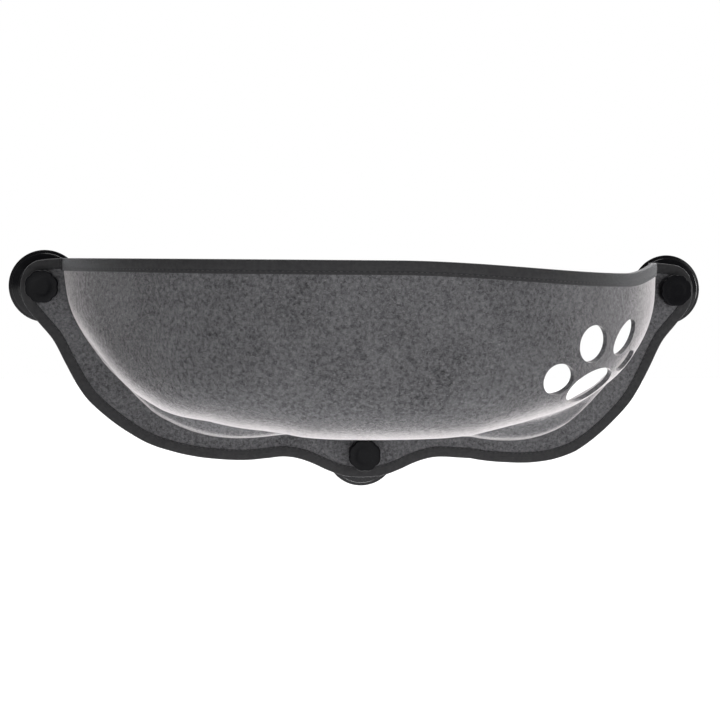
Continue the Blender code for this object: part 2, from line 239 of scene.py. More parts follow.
@dataclass(frozen=True)
class FeltFinish:
    """Needle-punched grey felt: heathered fibres, pale hairs and a soft sheen, with painted rim
    light where it is seen edge-on and painted shade round the fixings.
    """

    dark: Colour = (0.04, 0.039, 0.042)
    light: Colour = (0.198, 0.197, 0.206)
    hair: Colour = (0.42, 0.41, 0.42)
    # Colour of the painted rim light, mixed in where the felt is seen edge-on
    painted_rim_light: Colour = (0.8, 0.76, 0.77)
    sheen_tint: Colour = (1.0, 0.955, 0.96)
    cloud: Grain = (16.0, 2.0, 0.5)
    fleck: Grain = (300.0, 3.0, 0.62, 0.4)
    grain: Grain = (620.0, 2.0, 0.6, 1.2)
    fibre: Grain = (900.0, 2.0, 0.6, 1.5)
    strand: Grain = (700.0, 1.0, 0.5, 2.0)
    swings: tuple[float, ...] = (0.55, 1.75, 0.7, 0.5)
    reliefs: tuple[float, ...] = (0.5, 0.5, 0.7)
    middle: float = 0.46
    hair_window: Window = (0.63, 0.74)
    hair_share: float = 0.5
    # Facing at which the painted rim light starts, its full share, and the noise that jitters it
    rim_light_from: float = 0.57
    rim_light_share: float = 0.71
    rim_light_jitter: float = 0.3
    # Painted shade round each fixing: its darkest factor, the distance out to which it is darkest,
    # and where it ends
    fixing_shade: float = 0.98
    fixing_shade_near: float = 0.014
    fixing_shade_far: float = 0.042
    relief: float = 0.0009
    sheen: float = 0.7

    def material(self, ears: Iterable[Vector]) -> Material:
        """Builds the felt material.

        Args:
            ears: Middles of the three fixings, round which the felt is darkened with painted shade.

        Returns:
            The material.
        """
        tree = ShaderTree("heathered_felt")
        where = tree.place()
        cloud = tree.noise(where, *self.cloud)
        fleck = tree.noise(where, *self.fleck)
        grain = tree.noise(where, *self.grain)
        fibre = tree.noise(tree.stretch(where, (3.0, 1.0, 0.5), (0.3, 0.4, 0.8)), *self.fibre)
        strand = tree.noise(tree.stretch(where, (0.5, 2.6, 2.6), (0.2, 0.9, -0.5)), *self.strand)
        share = self.middle
        for layer, size in zip((cloud, fleck, grain, fibre), self.swings):
            share = tree.math("ADD", share, tree.swing(layer, size))
        share = tree.add("Clamp", {"Value": share}).outputs[0]
        colour = tree.blend(share, self.dark, self.light)
        hairs = tree.span(strand, *self.hair_window, 0.0, self.hair_share)
        colour = tree.blend(hairs, colour, self.hair)
        # Painted shade: the colour darkens in a soft ring round each fixing
        near = 1.0
        for ear in ears:
            gap = tree.add("VectorMath", {0: where, 1: tuple(ear)}, operation="DISTANCE")
            far = gap.outputs["Value"]
            shade_ring = tree.span(far, self.fixing_shade_near, self.fixing_shade_far, self.fixing_shade, 1.0)
            near = tree.math("MULTIPLY", near, shade_ring)
        shade = tree.add("CombineColor", {0: near, 1: near, 2: near}).outputs[0]
        colour = tree.blend(1.0, colour, shade, "MULTIPLY")
        # Painted rim light: a pale colour is mixed into the base colour where the surface is seen
        # edge-on
        edge = tree.add("LayerWeight", {"Blend": 0.5}).outputs["Facing"]
        edge = tree.math("ADD", edge, tree.swing(fleck, self.rim_light_jitter))
        rim_light_mask = tree.span(edge, self.rim_light_from, 1.0, 0.0, self.rim_light_share)
        colour = tree.blend(rim_light_mask, colour, self.painted_rim_light)
        height = 0.0
        for layer, size in zip((fleck, grain, fibre), self.reliefs):
            height = tree.math("ADD", height, tree.math("MULTIPLY", layer, size))
        tree.set(Base_Color=colour, Roughness=0.95, Normal=tree.bump(height, self.relief, 0.8))
        tree.set(Sheen_Weight=self.sheen, Sheen_Roughness=0.14, Specular_IOR_Level=0.15)
        tree.set(Sheen_Tint=(*self.sheen_tint, 1.0))
        return tree.material


@dataclass(frozen=True)
class TapeFinish:
    """Woven binding tape: fine ribs across it, and a painted highlight on the upward-facing side of
    its fold.
    """

    dark: Colour = (0.017, 0.017, 0.019)
    light: Colour = (0.058, 0.057, 0.058)
    # Colour of the painted highlight along the fold's upper side
    fold_highlight: Colour = (0.34, 0.335, 0.34)
    rib: float = 0.0009
    warp_share: float = 0.62
    # Half width, share and upward-facing window of the painted fold highlight
    highlight_half: float = 0.0036
    highlight_share: float = 0.9
    highlight_window: Window = (0.15, 0.6)
    seam_line: float = 0.0118
    seam_half: float = 0.0009
    seam_share: float = 0.6
    dust: Grain = (260.0, 4.0, 0.65)
    relief: float = 0.00022
    sheen_tint: Colour = (0.95, 0.96, 1.0)

    def material(self) -> Material:
        """Builds the tape material, which reads the tape's own UV map in metres.

        Returns:
            The material.
        """
        tree = ShaderTree("woven_tape")
        cloth = tree.add("UVMap", uv_map="cloth").outputs["UV"]
        waves = {"Vector": cloth, "Scale": WAVE / self.rib, "Distortion": 0.6}
        waves |= {"Detail": 1.0, "Detail Scale": 2.0}
        ribs = tree.add("TexWave", waves, bands_direction="X").outputs["Fac"]
        cross = dict(waves, Scale=WAVE / (self.rib * self.warp_share))
        warp = tree.add("TexWave", cross, bands_direction="Y").outputs["Fac"]
        weave = tree.math("ADD", tree.math("MULTIPLY", ribs, 0.6), tree.math("MULTIPLY", warp, 0.4))
        dust = tree.math("MULTIPLY_ADD", tree.noise(tree.place(), *self.dust), 0.9, -0.3)
        share = tree.math("ADD", tree.math("MULTIPLY", weave, 0.65), dust)
        share = tree.add("Clamp", {"Value": share}).outputs[0]
        colour = tree.blend(share, self.dark, self.light)
        across = tree.math("ABSOLUTE", tree.add("SeparateXYZ", {0: cloth}).outputs["Y"])
        beside = tree.math("ABSOLUTE", tree.math("SUBTRACT", across, self.seam_line))
        seam = tree.span(beside, self.seam_half * 0.3, self.seam_half, self.seam_share, 0.0)
        colour = tree.blend(seam, colour, self.dark)
        # Painted highlight: the fold's crown is made paler where it faces upwards, broken by the
        # ribs
        normal = tree.add("TexCoord").outputs["Normal"]
        upward = tree.add("SeparateXYZ", {0: normal}).outputs["Z"]
        painted_highlight = tree.span(across, self.highlight_half * 0.4, self.highlight_half, self.highlight_share, 0.0)
        painted_highlight = tree.math("MULTIPLY", painted_highlight, tree.span(upward, *self.highlight_window))
        painted_highlight = tree.math("MULTIPLY", painted_highlight, tree.math("MULTIPLY_ADD", ribs, 0.6, 0.4))
        tree.set(Base_Color=tree.blend(painted_highlight, colour, self.fold_highlight), Roughness=0.82)
        tree.set(Normal=tree.bump(weave, self.relief, 0.9), Specular_IOR_Level=0.2)
        tree.set(Sheen_Weight=0.3, Sheen_Roughness=0.2, Sheen_Tint=(*self.sheen_tint, 1.0))
        return tree.material


@dataclass(frozen=True)
class ThreadFinish:
    """Twisted sewing thread, a shade darker than the tape."""

    colour: Colour = (0.018, 0.018, 0.019)
    glint: Colour = (0.06, 0.06, 0.062)
    twist: Grain = (2600.0, 1.0)
    lean: Colour = (0.5, 0.5, 0.5)
    relief: float = 0.0001

    def material(self) -> Material:
        """Builds the thread material.

        Returns:
            The material.
        """
        tree = ShaderTree("sewing_thread")
        where = tree.stretch(tree.place(), (1.0, 1.0, 1.0), self.lean)
        twist = tree.noise(where, *self.twist)
        tree.set(Base_Color=tree.blend(tree.span(twist, 0.4, 0.65), self.colour, self.glint))
        tree.set(Roughness=0.6, Normal=tree.bump(twist, self.relief, 0.6))
        return tree.material


@dataclass(frozen=True)
class RubberFinish:
    """Glossy black moulded rubber with a haze of dust."""

    colour: Colour = (0.006, 0.006, 0.007)
    bloom: Colour = (0.024, 0.025, 0.027)
    haze: Grain = (45.0, 4.0, 0.6)
    speck: Grain = (1500.0, 2.0, 0.7)
    haze_window: Window = (0.42, 0.72)
    speck_window: Window = (0.45, 0.75)
    dust_share: float = 0.7
    relief: float = 0.00006
    gloss: float = 0.22

    def material(self) -> Material:
        """Builds the rubber material.

        Returns:
            The material.
        """
        tree = ShaderTree("moulded_rubber")
        where = tree.place()
        haze = tree.noise(where, *self.haze)
        speck = tree.noise(where, *self.speck)
        clouds = tree.span(haze, *self.haze_window)
        dust = tree.math("MULTIPLY", clouds, tree.span(speck, *self.speck_window))
        dust = tree.math("MULTIPLY", dust, self.dust_share)
        tree.set(Base_Color=tree.blend(dust, self.colour, self.bloom))
        tree.set(Roughness=tree.math("MULTIPLY_ADD", haze, 0.2, 0.1))
        tree.set(Specular_IOR_Level=self.gloss)
        tree.set(Normal=tree.bump(speck, self.relief, 0.5))
        return tree.material


@dataclass(frozen=True)
class PlasticFinish:
    """Black moulded plastic with a fine spark texture and rubbed scratches."""

    colour: Colour = (0.0055, 0.0055, 0.0065)
    rubbed: Colour = (0.018, 0.019, 0.021)
    spark: Grain = (1900.0, 2.0, 0.6)
    scratch: Grain = (220.0, 3.0, 0.6)
    scratch_window: Window = (0.58, 0.72)
    scratch_share: float = 0.5
    relief: float = 0.00008
    gloss: float = 0.035

    def material(self) -> Material:
        """Builds the plastic material.

        Returns:
            The material.
        """
        tree = ShaderTree("moulded_plastic")
        where = tree.place()
        spark = tree.noise(where, *self.spark)
        drawn = tree.stretch(where, (1.0, 1.0, 14.0), (0.2, 0.7, 0.3))
        scratch = tree.noise(drawn, *self.scratch)
        rub = tree.math("MULTIPLY", tree.span(scratch, *self.scratch_window), self.scratch_share)
        tree.set(Base_Color=tree.blend(rub, self.colour, self.rubbed))
        tree.set(Roughness=tree.math("MULTIPLY_ADD", spark, 0.2, 0.2))
        tree.set(Specular_IOR_Level=self.gloss)
        tree.set(Normal=tree.bump(spark, self.relief, 0.5))
        return tree.material


@dataclass(frozen=True)
class MetalFinish:
    """Turned metal with tool rings round its axis and a little tarnish."""

    tone: MetalTone
    pitch: float
    stain: Grain = (300.0, 4.0, 0.65)
    tarnish: Colour = (0.45, 0.42, 0.4)
    tarnish_window: Window = (0.5, 0.75)
    tarnish_share: float = 0.6

    def material(self) -> Material:
        """Builds the metal material, whose rings run across the Y axis.

        Returns:
            The material.
        """
        red, green, blue, rough = self.tone.value
        tree = ShaderTree("turned_" + self.tone.name.lower())
        where = tree.place()
        rings = {"Vector": where, "Scale": WAVE / self.pitch}
        thread = tree.add("TexWave", rings, bands_direction="Y").outputs["Fac"]
        stain = tree.noise(where, *self.stain)
        dull = tuple(tone * less for tone, less in zip((red, green, blue), self.tarnish))
        share = tree.math("MULTIPLY", tree.span(stain, *self.tarnish_window), self.tarnish_share)
        tree.set(Base_Color=tree.blend(share, (red, green, blue), dull), Metallic=1.0)
        tree.set(Roughness=tree.math("MULTIPLY_ADD", stain, 0.3, rough - 0.1))
        tree.set(Normal=tree.bump(thread, self.pitch * 0.35, 0.8))
        return tree.material


# Mesh helpers


def ease(share: float) -> float:
    """Smooth step from 0 to 1."""
    share = max(0.0, min(1.0, share))
    return share * share * (3.0 - 2.0 * share)


def smooth_path(points: Iterable[tuple[float, float]], count: int) -> np.ndarray:
    """Points at equal steps along a smooth curve through the given points.

    Args:
        points: Two or more points of the plane.
        count: Number of steps.

    Returns:
        An array of count + 1 points.
    """
    rows = np.array(list(points), float)
    ends = np.vstack([2 * rows[0] - rows[1], rows, 2 * rows[-1] - rows[-2]])
    dense = []
    for a, b, c, d in zip(ends, ends[1:], ends[2:], ends[3:]):
        for t in np.linspace(0.0, 1.0, CURVE_STEPS, endpoint=False):
            turn = (2 * a - 5 * b + 4 * c - d) * t**2 + (3 * b - a - 3 * c + d) * t**3
            dense.append(b + (c - a) * t / 2 + turn / 2)
    dense = np.vstack([dense, rows[-1]])
    return even_steps(dense, np.linspace(0.0, 1.0, count + 1))


def run_along(path: np.ndarray) -> np.ndarray:
    """Distance along a polyline at each of its points."""
    return np.concatenate([[0.0], np.cumsum(np.linalg.norm(np.diff(path, axis=0), axis=1))])


def look_up(x: float, table: tuple[np.ndarray, np.ndarray]) -> float:
    """Value of a table of two columns at x."""
    return float(np.interp(x, *table))


def even_steps(path: np.ndarray, shares: np.ndarray) -> np.ndarray:
    """Points of a polyline at the given shares of its run."""
    run = run_along(path)
    return np.column_stack([np.interp(shares * run[-1], run, column) for column in path.T])


def left_normals(path: np.ndarray) -> np.ndarray:
    """Unit normals that point away from the body for a path run from left to right.

    Args:
        path: Points of the path, one in each row.

    Returns:
        One normal for each point.
    """
    before = np.vstack([path[:1], path[:-1]])
    after = np.vstack([path[1:], path[-1:]])
    run = after - before
    run /= np.linalg.norm(run, axis=1)[:, None]
    return np.column_stack([run[:, 1], -run[:, 0]])


def lay_grid(
    bm: BMesh, columns: int, rows: int, rule: Callable[[int, int], Vector]
) -> dict[bmesh.types.BMVert, tuple[int, int]]:
    """Makes a flat grid and bends it, point by point, to a rule.

    Args:
        bm: Mesh that takes the grid.
        columns: Faces along the grid.
        rows: Faces across the grid.
        rule: Gives the place of the point at a column and a row.

    Returns:
        The column and row of each new point.
    """
    made = bmesh.ops.create_grid(bm, x_segments=columns, y_segments=rows, size=0.5)
    spots = {}
    for vert in made["verts"]:
        spot = (round((vert.co.x + 0.5) * columns), round((vert.co.y + 0.5) * rows))
        vert.co = rule(*spot)
        spots[vert] = spot
    return spots


def hang(name: str, bm: BMesh, material: Material, sharp: float = 35.0) -> Object:
    """Turns a mesh into a smooth-shaded object at the origin.

    Args:
        name: Name of the piece.
        bm: Its mesh, which is freed.
        material: Its finish.
        sharp: Edges bent by more degrees than this stay crisp.

    Returns:
        The object.
    """
    bmesh.ops.recalc_face_normals(bm, faces=bm.faces)
    mesh = bpy.data.meshes.new(name)
    bm.to_mesh(mesh)
    bm.free()
    mesh.materials.append(material)
    mesh.polygons.foreach_set("use_smooth", [True] * len(mesh.polygons))
    mesh.set_sharp_from_angle(angle=math.radians(sharp))
    thing = bpy.data.objects.new(name, mesh)
    bpy.context.scene.collection.objects.link(thing)
    return thing


def settle_modifiers(thing: Object) -> None:
    """Applies an object's modifiers to its mesh.

    Args:
        thing: The object.
    """
    bpy.context.view_layer.update()
    ready = thing.evaluated_get(bpy.context.evaluated_depsgraph_get())
    mesh = bpy.data.meshes.new_from_object(ready)
    thing.modifiers.clear()
    thing.data = mesh


def report(thing: Object) -> None:
    """Logs a piece and its number of faces."""
    log.info("%s: %d faces", thing.name, len(thing.data.polygons))


# Felt


@dataclass(frozen=True)
class PodShape:
    """Sizes of the moulded felt, and the rules that its surface follows.

    Pairs in fade_rows are a distance in front of the root and how far the lobes have given
    way there.  Those in root_shares and belly_shares are shares of the half width and of
    the drop, those in flange_shares shares of the flange's half width and drop, and those
    in strip_shares match the run of the root to the run of the flange's outer edge.
    """

    felt: float = 0.004
    felt_middle: float = 0.0182
    half_width: float = 0.283
    depth: float = 0.235
    rim_height: float = 0.0255
    collar: float = 0.013
    root_radius: float = 0.005
    rim_sag: float = 0.0095
    rim_sag_share: float = 0.77
    fade_steps: int = 900
    fade_rows: tuple = (
        (0.0, 0.0), (0.008, 0.09), (0.015, 0.19), (0.022, 0.42), (0.03, 0.68), (0.042, 0.84),
        (0.065, 0.94), (0.09, 0.985), (0.12, 1.0), (0.3, 1.0),
    )
    plan_power: float = 2.6
    plan_round: float = 1.3
    wall_power: float = 4.0
    drop: float = 0.16
    flange_half_width: float = 0.3245
    flange_drop: float = 0.1825
    root_shares: tuple = (
        (0.0, 0.912), (0.13, 0.925), (0.27, 0.962), (0.37, 0.987), (0.45, 0.995),
        (0.53, 0.982), (0.615, 0.938), (0.695, 0.865), (0.745, 0.787), (0.785, 0.713),
        (0.86, 0.563), (0.905, 0.446), (0.948, 0.312), (0.98, 0.175), (1.0, 0.0),
    )
    belly_shares: tuple = (
        (0.0, 0.904), (0.15, 0.9), (0.3, 0.886), (0.45, 0.853), (0.6, 0.775),
        (0.7, 0.682), (0.785, 0.583), (0.86, 0.46), (0.92, 0.343), (0.965, 0.226),
        (0.99, 0.115), (1.0, 0.0),
    )
    flange_shares: tuple = (
        (0.935, 0.132), (0.962, 0.121), (0.986, 0.085), (1.0, 0.02), (0.997, -0.055),
        (0.981, -0.115), (0.949, -0.185), (0.908, -0.275), (0.872, -0.4), (0.834, -0.527),
        (0.796, -0.619), (0.722, -0.743), (0.648, -0.833), (0.573, -0.885), (0.496, -0.914),
        (0.42, -0.926), (0.35, -0.925), (0.29, -0.912), (0.24, -0.9), (0.196, -0.904),
        (0.15, -0.927), (0.105, -0.962), (0.055, -0.992), (0.0, -1.0),
    )
    strip_shares: tuple = (
        (0.0, 0.0), (0.16, 0.119), (0.336, 0.253), (0.507, 0.453), (0.705, 0.647),
        (0.829, 0.753), (0.891, 0.82), (0.94, 0.896), (0.966, 0.93), (1.0, 1.0),
    )

    @property
    def collar_low(self) -> float:
        """Height of the lower edge of the collar."""
        return self.rim_height - self.collar

    @property
    def pod_back(self) -> float:
        """Y of the end of the rounded root, where the pod's wall starts."""
        return -(self.felt_middle + self.root_radius)

    def drops(self, shares: tuple) -> tuple[np.ndarray, np.ndarray]:
        """Smooth table of drops below the collar against the distance from the middle.

        Args:
            shares: Pairs of the half width's and the drop's share, from the middle out.

        Returns:
            Distances and drops.
        """
        rows = [(-x, z) for x, z in reversed(shares[1:])] + list(shares)
        path = smooth_path(rows, 2 * TABLE_STEPS)[TABLE_STEPS:]
        return np.abs(path[:, 0]) * self.half_width, path[:, 1] * self.drop

    def sag(self, x: float) -> float:
        """Dip of the rim above the paw print.

        Args:
            x: Place along the rim.

        Returns:
            Height over the even rim.
        """
        share = x / self.half_width
        if share < self.rim_sag_share:
            return -self.rim_sag * ease(share / self.rim_sag_share)
        return -self.rim_sag * ease((1.0 - share) / (1.0 - self.rim_sag_share))

    def fades(self) -> tuple[np.ndarray, np.ndarray]:
        """How far the lobes have given way to the belly, against the distance from the root."""
        return tuple(smooth_path(self.fade_rows, self.fade_steps).T)

    def reach(self, x: float) -> float:
        """Distance of the rim in front of the root."""
        share = min(1.0, abs(x) / self.half_width)
        return self.depth * max(0.0, 1.0 - share**self.plan_power) ** (1.0 / self.plan_round)

    def columns(self, count: int) -> list[float]:
        """Distances from the middle, closer together at the steep ends.

        Args:
            count: Number of steps.

        Returns:
            The distances from the left end to the right one.
        """
        spread = [math.cos(math.pi * i / count) for i in range(count + 1)]
        power = 2.0 / self.plan_power
        return [-math.copysign(abs(c) ** power, c) * self.half_width for c in spread]

    def outline(self, count: int) -> np.ndarray:
        """Outer edge of the flange from the left root of the rim to the right one.

        Args:
            count: Number of steps.

        Returns:
            Points of X and Z.
        """
        half = [(x * self.flange_half_width, z * self.flange_drop) for x, z in self.flange_shares]
        right = [(self.half_width + self.root_radius, self.rim_height)] + half
        return smooth_path([(-x, z) for x, z in right] + right[-2::-1], count)

    def plan(self, count: int, turns: int) -> np.ndarray:
        """Rim seen from above, with the rounded corner at both ends.

        Args:
            count: Steps along the rim.
            turns: Steps round each corner.

        Returns:
            Points of X and Y.
        """
        corner = []
        for step in range(turns + 1):
            angle = math.pi / 2 * step / turns
            out = self.root_radius * (1.0 - math.sin(angle))
            back = self.root_radius * (1.0 - math.cos(angle))
            corner.append((-self.half_width - out, -self.felt_middle - back))
        rim = [(x, self.pod_back - self.reach(x)) for x in self.columns(count)[1:-1]]
        return np.array(corner + rim + [(-x, y) for x, y in reversed(corner)])


@dataclass
class PawPrint:
    """Five holes cut through the lower right of the pod.

    Each row is a hole's place across and up, half its length and half its width, all
    times the size, and its slant in degrees.
    """

    middle: tuple[float, float, float] = (0.17229, -0.1951, -0.0789)
    yaw: float = 43.5
    pitch: float = 15.4
    size: float = 0.05
    reach: float = 0.045
    rows: tuple = (
        (0.345, -0.055, 0.67, 0.35, 4.5),
        (-0.715, 0.11, 0.375, 0.282, 161.3),
        (-0.025, 0.739, 0.4, 0.323, 0.8),
        (1.1, 0.8, 0.48, 0.257, 24.5),
        (1.48, 0.32, 0.43, 0.19, 7.0),
    )

    def places(self) -> list[Matrix]:
        """Place, turn and size of each hole's unit cylinder.

        Returns:
            One matrix for each hole.
        """
        facing = (
            Matrix.Translation(self.middle)
            @ Matrix.Rotation(math.radians(self.yaw), 4, "Z")
            @ Matrix.Rotation(math.radians(90.0 + self.pitch), 4, "X")
        )
        found = []
        for across, up, long, wide, slant in self.rows:
            shape = Matrix.Diagonal((long * self.size, wide * self.size, self.reach, 1.0))
            turn = Matrix.Rotation(math.radians(slant), 4, "Z")
            shift = Matrix.Translation((across * self.size, up * self.size, 0.0))
            found.append(facing @ shift @ turn @ shape)
        return found


@dataclass(frozen=True)
class Slack:
    """How the soft felt hangs a little askew below its rim.

    The lobes by the glass stand higher at the left and lower at the right; the belly
    in front of them lies lower at the far left and higher right of the middle.  Pairs in
    both tables are a place along the rim and the lift there.
    """

    sites: tuple[Vector, ...]
    still: float = 0.01
    full: float = -0.06
    held: float = 0.03
    free: float = 0.085
    rows: tuple = (
        (-0.275, 0.0), (-0.223, 0.0052), (-0.185, 0.006), (-0.141, 0.005), (-0.09, 0.003),
        (0.0, 0.0), (0.08, 0.0015), (0.106, 0.0035), (0.141, 0.0), (0.165, -0.003),
        (0.188, -0.0052), (0.211, -0.0062), (0.238, -0.005), (0.27, -0.0032), (0.3, -0.0014),
        (0.325, 0.0),
    )
    belly_start: float = -0.035
    belly_full: float = -0.11
    belly_rows: tuple = (
        (-0.275, 0.0), (-0.25, -0.004), (-0.215, -0.0075), (-0.19, -0.0065), (-0.168, -0.002),
        (-0.15, 0.0015), (-0.132, 0.0025), (-0.103, 0.0035), (-0.085, 0.0028), (-0.068, 0.0008),
        (-0.045, 0.0), (0.055, 0.0), (0.08, 0.0008), (0.095, 0.0028), (0.114, 0.005),
        (0.14, 0.006), (0.17, 0.004), (0.2, 0.002), (0.23, 0.0),
    )

    def settle(self, spot: Vector) -> Vector:
        """Place that a point of the felt takes when it hangs.

        Args:
            spot: The point on the even shape.

        Returns:
            The point moved up or down; the rim and the felt near a fixing stay.
        """
        lobe, belly = (look_up(spot.x, np.array(rows).T) for rows in (self.rows, self.belly_rows))
        front = ease((self.belly_start - spot.y) / (self.belly_start - self.belly_full))
        lift = lobe + (belly - lobe) * front
        lift *= ease((self.still - spot.z) / (self.still - self.full))
        for site in self.sites:
            away = math.hypot(spot.x - site.x, spot.z - site.z)
            lift *= ease((away - self.held) / (self.free - self.held))
        return Vector((spot.x, spot.y, spot.z + lift))


@dataclass
class FeltShell:
    """The moulded felt: a flange, a rounded root and the pod with its paw print."""

    shape: PodShape
    paw: PawPrint
    sites: dict[Side, Vector]
    settle: Callable[[Vector], Vector]
    columns: int = 210
    pod_rows: int = 80
    collar_rows: int = 4
    flange_rows: int = 9
    root_rows: int = 6
    edge_steps: int = 4000
    eyelet_radius: float = 0.0063
    merge: float = 0.00004

    def build(self, material: Material) -> Object:
        """Builds the felt.

        Args:
            material: Its finish.

        Returns:
            The finished piece, which stands for the CAD shell.
        """
        bm = bmesh.new()
        self._pod(bm)
        self._flange(bm)
        bmesh.ops.remove_doubles(bm, verts=bm.verts, dist=self.merge)
        for vert in bm.verts:
            vert.co = self.settle(vert.co)
        shell = hang("moulded_felt", bm, material)
        thick = shell.modifiers.new("thickness", "SOLIDIFY")
        thick.thickness, thick.offset = self.shape.felt, 0.0
        thick.use_even_offset = thick.use_quality_normals = True
        cutter = self._cutters(material)
        cut = shell.modifiers.new("holes", "BOOLEAN")
        cut.operation, cut.solver, cut.object = "DIFFERENCE", "MANIFOLD", cutter
        settle_modifiers(shell)
        bpy.data.objects.remove(cutter, do_unlink=True)
        shell.data.polygons.foreach_set("use_smooth", [True] * len(shell.data.polygons))
        shell.data.set_sharp_from_angle(angle=math.radians(40.0))
        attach(shell, "hammock")
        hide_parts("felt_shell")
        report(shell)
        return shell

    def _pod(self, bm: BMesh) -> None:
        """Lays the pod's wall and the collar above it.

        Args:
            bm: Mesh that takes them.
        """
        s = self.shape
        roots, bellies, fades = s.drops(s.root_shares), s.drops(s.belly_shares), s.fades()
        places = s.columns(self.columns)

        def rule(i: int, j: int) -> Vector:
            """Place of the point at column i and row j."""
            x, row = places[i], min(j, self.pod_rows)
            share = row / self.pod_rows
            angle = math.pi / 2 * share**2 / (share**2 + (1.0 - share) ** 2)
            out = math.sin(angle) ** (2.0 / s.wall_power)
            down = max(0.0, math.cos(angle)) ** (2.0 / s.wall_power)
            root, belly = look_up(abs(x), roots), look_up(abs(x), bellies)
            front = s.reach(x) * out
            drop = (root + (belly - root) * look_up(front, fades)) * down
            rise = s.collar * max(0, j - self.pod_rows) / self.collar_rows
            height = s.collar_low - drop + rise + s.sag(x) * (1 - down)
            return Vector((x, s.pod_back - front, height))

        lay_grid(bm, self.columns, self.pod_rows + self.collar_rows, rule)

    def _flange(self, bm: BMesh) -> None:
        """Lays the flat flange and the rounded root as one strip round the pod.

        Args:
            bm: Mesh that takes them.
        """
        s = self.shape
        roots = s.drops(s.root_shares)
        path = [(x, s.collar_low - look_up(abs(x), roots)) for x in s.columns(self.columns)]
        path[0], path[-1] = (-s.half_width, s.collar_low), (s.half_width, s.collar_low)
        steps = [s.rim_height - s.collar * k / self.collar_rows for k in range(self.collar_rows)]
        left, right = ([(side * s.half_width, z) for z in steps] for side in (-1.0, 1.0))
        path = np.array(left + path + right[::-1])
        normals = left_normals(path)
        normals[: self.collar_rows + 1] = (-1.0, 0.0)
        normals[-self.collar_rows - 1 :] = (1.0, 0.0)
        run = run_along(path)
        share = 2.0 * run / run[-1] - 1.0
        pairs = np.array(s.strip_shares)
        matched = np.sign(share) * np.interp(np.abs(share), pairs[:, 0], pairs[:, 1])
        edge = even_steps(s.outline(self.edge_steps), (matched + 1.0) / 2.0)
        count = len(path) - 1

        def rule(i: int, j: int) -> Vector:
            """Place of the point at column i and row j."""
            if j <= self.flange_rows:
                inner = path[i] + normals[i] * s.root_radius
                spot = edge[i] + (inner - edge[i]) * j / self.flange_rows
                return Vector((spot[0], -s.felt_middle, spot[1]))
            angle = math.pi / 2 * (j - self.flange_rows) / self.root_rows
            spot = path[i] + normals[i] * s.root_radius * (1.0 - math.sin(angle))
            front = s.felt_middle + s.root_radius * (1.0 - math.cos(angle))
            return Vector((spot[0], -front, spot[1]))

        lay_grid(bm, count, self.flange_rows + self.root_rows, rule)

    def _cutters(self, material: Material) -> Object:
        """Cylinders that cut the eyelet holes and the paw print.

        Args:
            material: Finish of the cut faces.

        Returns:
            One object with all the cylinders.
        """
        bm = bmesh.new()
        upright = Matrix.Rotation(math.pi / 2, 4, "X")
        size = Matrix.Diagonal((self.eyelet_radius, self.eyelet_radius, self.shape.felt, 1.0))
        places = [
            Matrix.Translation(site - Vector((0.0, self.shape.felt_middle, 0.0))) @ upright @ size
            for site in self.sites.values()
        ]
        for place in places + self.paw.places():
            rings = {"radius1": 1.0, "radius2": 1.0, "depth": 2.0}
            bmesh.ops.create_cone(bm, cap_ends=True, segments=72, matrix=place, **rings)
        cutter = hang("hole_cutter", bm, material)
        cutter.hide_render = True
        return cutter


# Tapes


